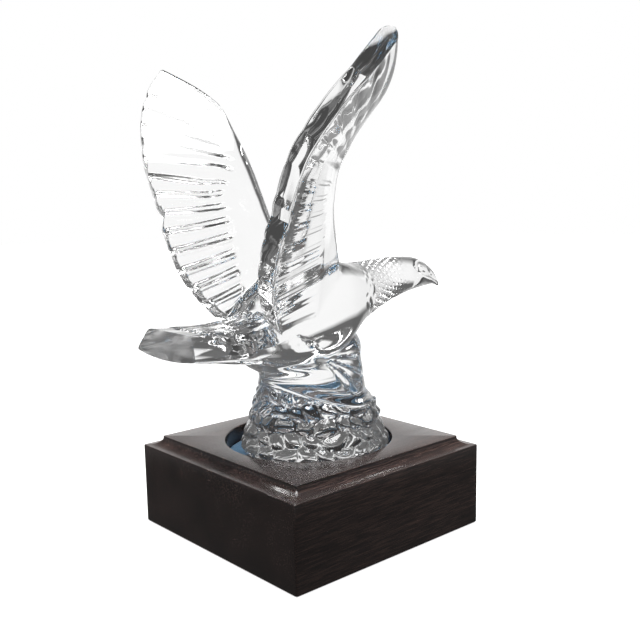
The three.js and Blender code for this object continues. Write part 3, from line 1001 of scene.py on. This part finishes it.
wood = {
    "dark": (0.016, 0.0122, 0.0118),
    "brown": (0.027, 0.0186, 0.0170),
    "light": (0.047, 0.031, 0.027),
    "colourAt": (0.36, 0.5, 0.68),
    "grainScale": 1500,
    "poreScale": 160,
    "grainStretch": (0.07, 1, 1),
    "grainDetail": 6.0,
    "streakScale": 60,
    "streakPatches": 18,
    "streakStretch": (0.2, 1, 1),
    "streakDetail": 3.0,
    "streakDark": (0.62, 0.6, 0.6),
    "streakLight": (1.15, 1.1, 1.08),
    "streakAt": (0.35, 0.65),
    "roughLow": 0.13,
    "roughHigh": 0.22,
    "roughAt": (0.35, 0.65),
    "specular": 0.55,
    "bump": 0.006,
    "bumpHeight": 0.0002,
}


def woodFinish():
    material, tree, shader = newMaterial("darkMahogany")
    grain = placeNoise(
        tree, wood["grainScale"], wood["poreScale"], wood["grainStretch"], wood["grainDetail"])
    streaks = placeNoise(
        tree, wood["streakScale"], wood["streakPatches"], wood["streakStretch"], wood["streakDetail"])
    colours = [wood["dark"], wood["brown"], wood["light"]]
    colour = ramp(tree, grain.outputs["Fine"], list(zip(wood["colourAt"], colours)))
    shades = [wood["streakDark"], wood["streakLight"]]
    shade = ramp(tree, streaks.outputs["Fine"], list(zip(wood["streakAt"], shades)))
    blend = addNode(tree, "ShaderNodeMix", data_type="RGBA", blend_type="MULTIPLY")
    blend.inputs["Factor"].default_value = 1.0
    tree.links.new(colour, blend.inputs[6])
    tree.links.new(shade, blend.inputs[7])
    tree.links.new(blend.outputs[2], shader.inputs["Base Color"])
    rough = span(tree, grain.outputs["Patches"], wood["roughHigh"], wood["roughLow"], *wood["roughAt"])
    tree.links.new(rough, shader.inputs["Roughness"])
    shader.inputs["Specular IOR Level"].default_value = wood["specular"]
    bump(tree, shader, grain.outputs["Fine"], wood["bump"], wood["bumpHeight"])
    return material


feltLook = {
    "deep": (0.010, 0.050, 0.10),
    "lit": (0.028, 0.105, 0.185),
    "colourAt": (0.35, 0.65),
    "napScale": 2600,
    "patchScale": 300,
    "detail": 5.0,
    "roughLow": 0.85,
    "roughHigh": 1.0,
    "sheen": 0.4,
    "specular": 0.1,
    "bump": 0.6,
    "bumpHeight": 0.0004,
}


def feltFinish():
    material, tree, shader = newMaterial("blueFelt")
    look = feltLook
    nap = placeNoise(tree, look["napScale"], look["patchScale"], detail=look["detail"])
    colour = ramp(tree, nap.outputs["Fine"], list(zip(look["colourAt"], [look["deep"], look["lit"]])))
    tree.links.new(colour, shader.inputs["Base Color"])
    rough = span(tree, nap.outputs["Patches"], look["roughLow"], look["roughHigh"])
    tree.links.new(rough, shader.inputs["Roughness"])
    shader.inputs["Sheen Weight"].default_value = look["sheen"]
    shader.inputs["Specular IOR Level"].default_value = look["specular"]
    bump(tree, shader, nap.outputs["Fine"], look["bump"], look["bumpHeight"])
    return material


eagle.materials.append(crystalFinish())
woodPlinth.data.materials.append(woodFinish())
feltLiner.data.materials.append(feltFinish())
print("materials made")


# Studio: a pale floor, a bright surround with dark flags for the crystal's edges, a soft light above
studio = {
    "floorRadius": 2.2,
    "floorSides": 96,
    "floorDrop": 0.0003,
    "floorRough": 0.9,
    "floorColour": (0.35, 0.35, 0.35),
    "floorGlow": 0.75,
    "tableDimTo": 0.17,
    "tableBrightFrom": 0.28,
    "backdrop": 1.0,
    "dark": 0.11,
    "sides": 0.28,
    "sweepFacing": 46,
    "sweepHalf": 39,
    "flagWidth": 26,
    "flagFade": 8,
    "sweepEdge": 4,
    "sweepTop": 27,
    "crystalSweepTop": 10,
    "sweepFade": 4,
    "softbox": 14,
    "boxFrom": 66,
    "boxFade": 6,
}


def aroundLight(tree, direction):
    # brightness by compass direction: a bright sweep behind, a dark flag on each side of it, grey elsewhere
    split = tree.nodes.new("ShaderNodeSeparateXYZ")
    tree.links.new(direction, split.inputs[0])
    turn = addNode(tree, "ShaderNodeMath", operation="ARCTAN2")
    tree.links.new(split.outputs["Y"], turn.inputs[0])
    tree.links.new(split.outputs["X"], turn.inputs[1])
    around = span(tree, turn.outputs[0], 0, 1, -math.pi, math.pi)
    middle, half, flag = studio["sweepFacing"], studio["sweepHalf"], studio["flagWidth"]
    fade, edge = studio["flagFade"], studio["sweepEdge"]
    stops = []
    outer = half + flag
    for offset, light in (
        (-outer - fade, "sides"), (-outer, "dark"), (-half - edge, "dark"), (-half + edge, "backdrop"),
        (half - edge, "backdrop"), (half + edge, "dark"), (outer, "dark"), (outer + fade, "sides"),
    ):
        stops.append(((middle + offset + 180) / 360, grey(studio[light])))
    return ramp(tree, around, stops)


def makeFloor():
    shape = bmesh.new()
    sides, radius = studio["floorSides"], studio["floorRadius"]
    bmesh.ops.create_circle(shape, cap_ends=True, segments=sides, radius=radius)
    mesh = bpy.data.meshes.new("floor")
    shape.to_mesh(mesh)
    shape.free()
    floor = bpy.data.objects.new("floor", mesh)
    floor.location.z = -studio["floorDrop"]
    bpy.context.scene.collection.objects.link(floor)
    material, tree, shader = newMaterial("paleFloor")
    shader.inputs["Base Color"].default_value = (*studio["floorColour"], 1)
    shader.inputs["Roughness"].default_value = studio["floorRough"]
    shader.inputs["Specular IOR Level"].default_value = 0.0
    shader.inputs["Emission Color"].default_value = (1, 1, 1, 1)
    shader.inputs["Emission Strength"].default_value = studio["floorGlow"]
    # the crystal and the wood are lit by a table that is dim near the object and bright further off,
    # while the camera sees a plain pale floor
    place = tree.nodes.new("ShaderNodeTexCoord")
    length = addNode(tree, "ShaderNodeVectorMath", operation="LENGTH")
    tree.links.new(place.outputs["Object"], length.inputs[0])
    far = span(tree, length.outputs["Value"], 0, 1, studio["tableDimTo"], studio["tableBrightFrom"])
    around = aroundLight(tree, place.outputs["Object"])
    light = addNode(tree, "ShaderNodeMix", data_type="RGBA")
    tree.links.new(far, light.inputs["Factor"])
    light.inputs[6].default_value = (*grey(studio["dark"]), 1)
    tree.links.new(around, light.inputs[7])
    glow = tree.nodes.new("ShaderNodeEmission")
    tree.links.new(light.outputs[2], glow.inputs["Color"])
    path = tree.nodes.new("ShaderNodeLightPath")
    choose = tree.nodes.new("ShaderNodeMixShader")
    tree.links.new(path.outputs["Is Camera Ray"], choose.inputs[0])
    tree.links.new(glow.outputs[0], choose.inputs[1])
    tree.links.new(shader.outputs[0], choose.inputs[2])
    tree.links.new(choose.outputs[0], tree.nodes["Material Output"].inputs[0])
    mesh.materials.append(material)


def above(degrees):
    # a height above the horizon, as the share that the surround's ramp reads
    return 0.5 + 0.5 * math.sin(math.radians(degrees))


def makeSurround():
    world = bpy.data.worlds.new("studio")
    world.use_nodes = True
    tree = world.node_tree
    tree.nodes.clear()
    output = tree.nodes.new("ShaderNodeOutputWorld")
    place = tree.nodes.new("ShaderNodeTexCoord")
    split = tree.nodes.new("ShaderNodeSeparateXYZ")
    tree.links.new(place.outputs["Generated"], split.inputs[0])
    height = span(tree, split.outputs["Z"], 0, 1, -1, 1)
    dark, box, edge = grey(studio["dark"]), grey(studio["softbox"]), studio["boxFrom"]
    overhead = ramp(tree, height, [(above(edge - studio["boxFade"]), dark), (above(edge), box), (1.0, box)])
    # light that comes through the crystal sees the sweep end lower, which darkens its upper edges
    path = tree.nodes.new("ShaderNodeLightPath")
    through = path.outputs["Is Transmission Ray"]
    top, crystalTop, fade = studio["sweepTop"], studio["crystalSweepTop"], studio["sweepFade"]
    isHigh = tree.nodes.new("ShaderNodeMapRange")
    tree.links.new(height, isHigh.inputs["Value"])
    for socket, offset in (("From Min", -fade), ("From Max", fade)):
        limit = span(tree, through, above(top + offset), above(crystalTop + offset))
        tree.links.new(limit, isHigh.inputs[socket])
    shade = addNode(tree, "ShaderNodeMix", data_type="RGBA")
    tree.links.new(isHigh.outputs[0], shade.inputs["Factor"])
    tree.links.new(aroundLight(tree, place.outputs["Generated"]), shade.inputs[6])
    tree.links.new(overhead, shade.inputs[7])
    seen, lit = tree.nodes.new("ShaderNodeBackground"), tree.nodes.new("ShaderNodeBackground")
    seen.inputs["Color"].default_value = (*grey(studio["backdrop"]), 1)
    tree.links.new(shade.outputs[2], lit.inputs["Color"])
    choose = tree.nodes.new("ShaderNodeMixShader")
    tree.links.new(path.outputs["Is Camera Ray"], choose.inputs[0])
    tree.links.new(lit.outputs[0], choose.inputs[1])
    tree.links.new(seen.outputs[0], choose.inputs[2])
    tree.links.new(choose.outputs[0], output.inputs[0])
    bpy.context.scene.world = world


# Camera: where the photograph was taken from, in metres
shot = {
    "place": (-0.2666, -0.3100, 0.1642),
    "target": (0.0086, 0.0, 0.0982),
    "rollDegrees": -1.0,
    "lens": 49.49,
    "sensor": 36,
    "nearest": 0.01,
    "furthest": 20,
}


def makeCamera():
    data = bpy.data.cameras.new("camera")
    data.lens, data.sensor_width = shot["lens"], shot["sensor"]
    data.clip_start, data.clip_end = shot["nearest"], shot["furthest"]
    camera = bpy.data.objects.new("camera", data)
    bpy.context.scene.collection.objects.link(camera)
    place, target = Vector(shot["place"]), Vector(shot["target"])
    ahead = (target - place).normalized()
    right = ahead.cross(Vector((0, 0, 1))).normalized()
    up = right.cross(ahead)
    roll = math.radians(shot["rollDegrees"])
    tiltedRight = right * math.cos(roll) + up * math.sin(roll)
    tiltedUp = up * math.cos(roll) - right * math.sin(roll)
    turn = Matrix((tiltedRight, tiltedUp, -ahead)).transposed()
    camera.matrix_world = Matrix.Translation(place) @ turn.to_4x4()
    bpy.context.scene.camera = camera


makeFloor()
makeSurround()
makeCamera()
bpy.context.scene.view_settings.view_transform = "Standard"
print("studio ready")
